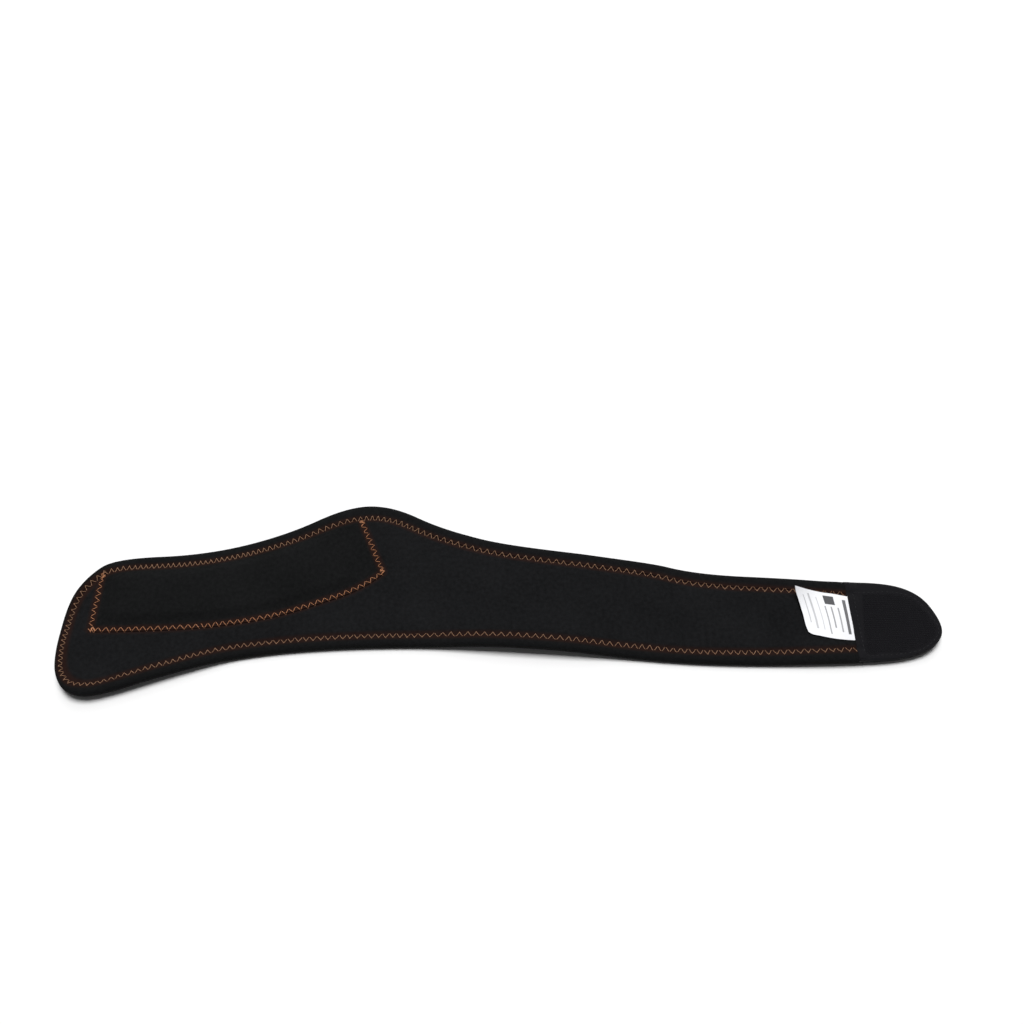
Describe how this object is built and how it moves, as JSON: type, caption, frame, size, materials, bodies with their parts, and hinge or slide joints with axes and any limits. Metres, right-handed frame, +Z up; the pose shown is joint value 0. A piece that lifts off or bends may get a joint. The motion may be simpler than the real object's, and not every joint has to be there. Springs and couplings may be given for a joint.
{
  "type": "knee brace",
  "caption": "Wrap-round knee brace laid open skin side up: a broad end with a padded pocket, orange zigzag seams, and a tongue that ends in a hook tab.",
  "frame": {"origin": "centre of the box on the surface that the open wrap lies on", "axes": "+X along the wrap towards the hook tab, +Y towards the humped edge, +Z up out of the skin side"},
  "size_m": [0.5, 0.123, 0.0104],
  "materials": {
    "foam": "matt closed-cell foam",
    "loop_facing": "brushed loop pile",
    "lining": "fine knit, matt",
    "binding": "knit tape, matt with a faint sheen",
    "orange_thread": "twisted polyester thread, slight sheen",
    "pad": "soft foam",
    "pocket_fabric": "fine knit, matt",
    "hook_tape": "smooth moulded border",
    "hooks": "fine moulded hooks",
    "black_thread": "twisted thread",
    "label": "white satin"
  },
  "bodies": {
    "middle": {"foam_core_4": "foam", "loop_facing_4": "loop_facing", "lining_4": "lining", "edge_binding_4": "binding", "edge_stitch_4": "orange_thread"},
    "left_inner": {"foam_core_3": "foam", "loop_facing_3": "loop_facing", "lining_3": "lining", "edge_binding_3": "binding", "edge_stitch_3": "orange_thread", "pocket_pad_3": "pad", "pocket_panel_3": "pocket_fabric", "pocket_stitch_3": "orange_thread"},
    "left_outer": {"foam_core_2": "foam", "loop_facing_2": "loop_facing", "lining_2": "lining", "edge_binding_2": "binding", "edge_stitch_2": "orange_thread", "pocket_pad_2": "pad", "pocket_panel_2": "pocket_fabric", "pocket_stitch_2": "orange_thread"},
    "left_end": {"foam_core_1": "foam", "loop_facing_1": "loop_facing", "lining_1": "lining", "edge_binding_1": "binding", "edge_stitch_1": "orange_thread", "pocket_pad_1": "pad", "pocket_panel_1": "pocket_fabric", "pocket_stitch_1": "orange_thread"},
    "right_inner": {"foam_core_5": "foam", "loop_facing_5": "loop_facing", "lining_5": "lining", "edge_binding_5": "binding", "edge_stitch_5": "orange_thread"},
    "right_outer": {"foam_core_6": "foam", "loop_facing_6": "loop_facing", "lining_6": "lining", "edge_binding_6": "binding", "edge_stitch_6": "orange_thread"},
    "tongue": {"foam_core_7": "foam", "loop_facing_7": "loop_facing", "lining_7": "lining", "edge_binding_7": "binding", "edge_stitch_7": "orange_thread"},
    "hook_tab": {"tab_backing": "loop_facing", "hook_base": "hook_tape", "hook_field": "hooks", "tab_stitch": "black_thread"},
    "label": {"care_label": "label"}
  },
  "joints": [
    {"name": "left_curl", "type": "hinge", "parent": "middle", "child": "left_inner", "pos_m": [-0.06287, 0, 0.006], "axis": [0, 1, 0], "range_deg": [0, 51.4]},
    {"name": "left_curl_outer", "type": "hinge", "parent": "left_inner", "child": "left_outer", "pos_m": [-0.12683, 0, 0.0076], "axis": [0, 1, 0], "range_deg": [0, 51.4]},
    {"name": "left_curl_end", "type": "hinge", "parent": "left_outer", "child": "left_end", "pos_m": [-0.19, 0, 0.0076], "axis": [0, 1, 0], "range_deg": [0, 51.4]},
    {"name": "right_curl", "type": "hinge", "parent": "middle", "child": "right_inner", "pos_m": [0.0019, 0, 0.0107], "axis": [0, -1, 0], "range_deg": [0, 51.4]},
    {"name": "right_curl_outer", "type": "hinge", "parent": "right_inner", "child": "right_outer", "pos_m": [0.06747, 0, 0.0069], "axis": [0, -1, 0], "range_deg": [0, 51.4]},
    {"name": "right_curl_tongue", "type": "hinge", "parent": "right_outer", "child": "tongue", "pos_m": [0.13383, 0, 0.006], "axis": [0, -1, 0], "range_deg": [0, 51.4]},
    {"name": "tab_close", "type": "hinge", "parent": "tongue", "child": "hook_tab", "pos_m": [0.201, 0, 0.006], "axis": [0, -1, 0], "range_deg": [0, 51.4]},
    {"name": "label_lift", "type": "hinge", "parent": "tongue", "child": "label", "pos_m": [0.2002, 0, 0.00555], "axis": [0, 1, 0], "range_deg": [0, 35]}
  ],
  "couplings": [
    {"joint": "left_curl_outer", "follows": "left_curl", "ratio": 1},
    {"joint": "left_curl_end", "follows": "left_curl", "ratio": 1},
    {"joint": "right_curl_outer", "follows": "right_curl", "ratio": 1},
    {"joint": "right_curl_tongue", "follows": "right_curl", "ratio": 1},
    {"joint": "tab_close", "follows": "right_curl", "ratio": 0.88}
  ]
}
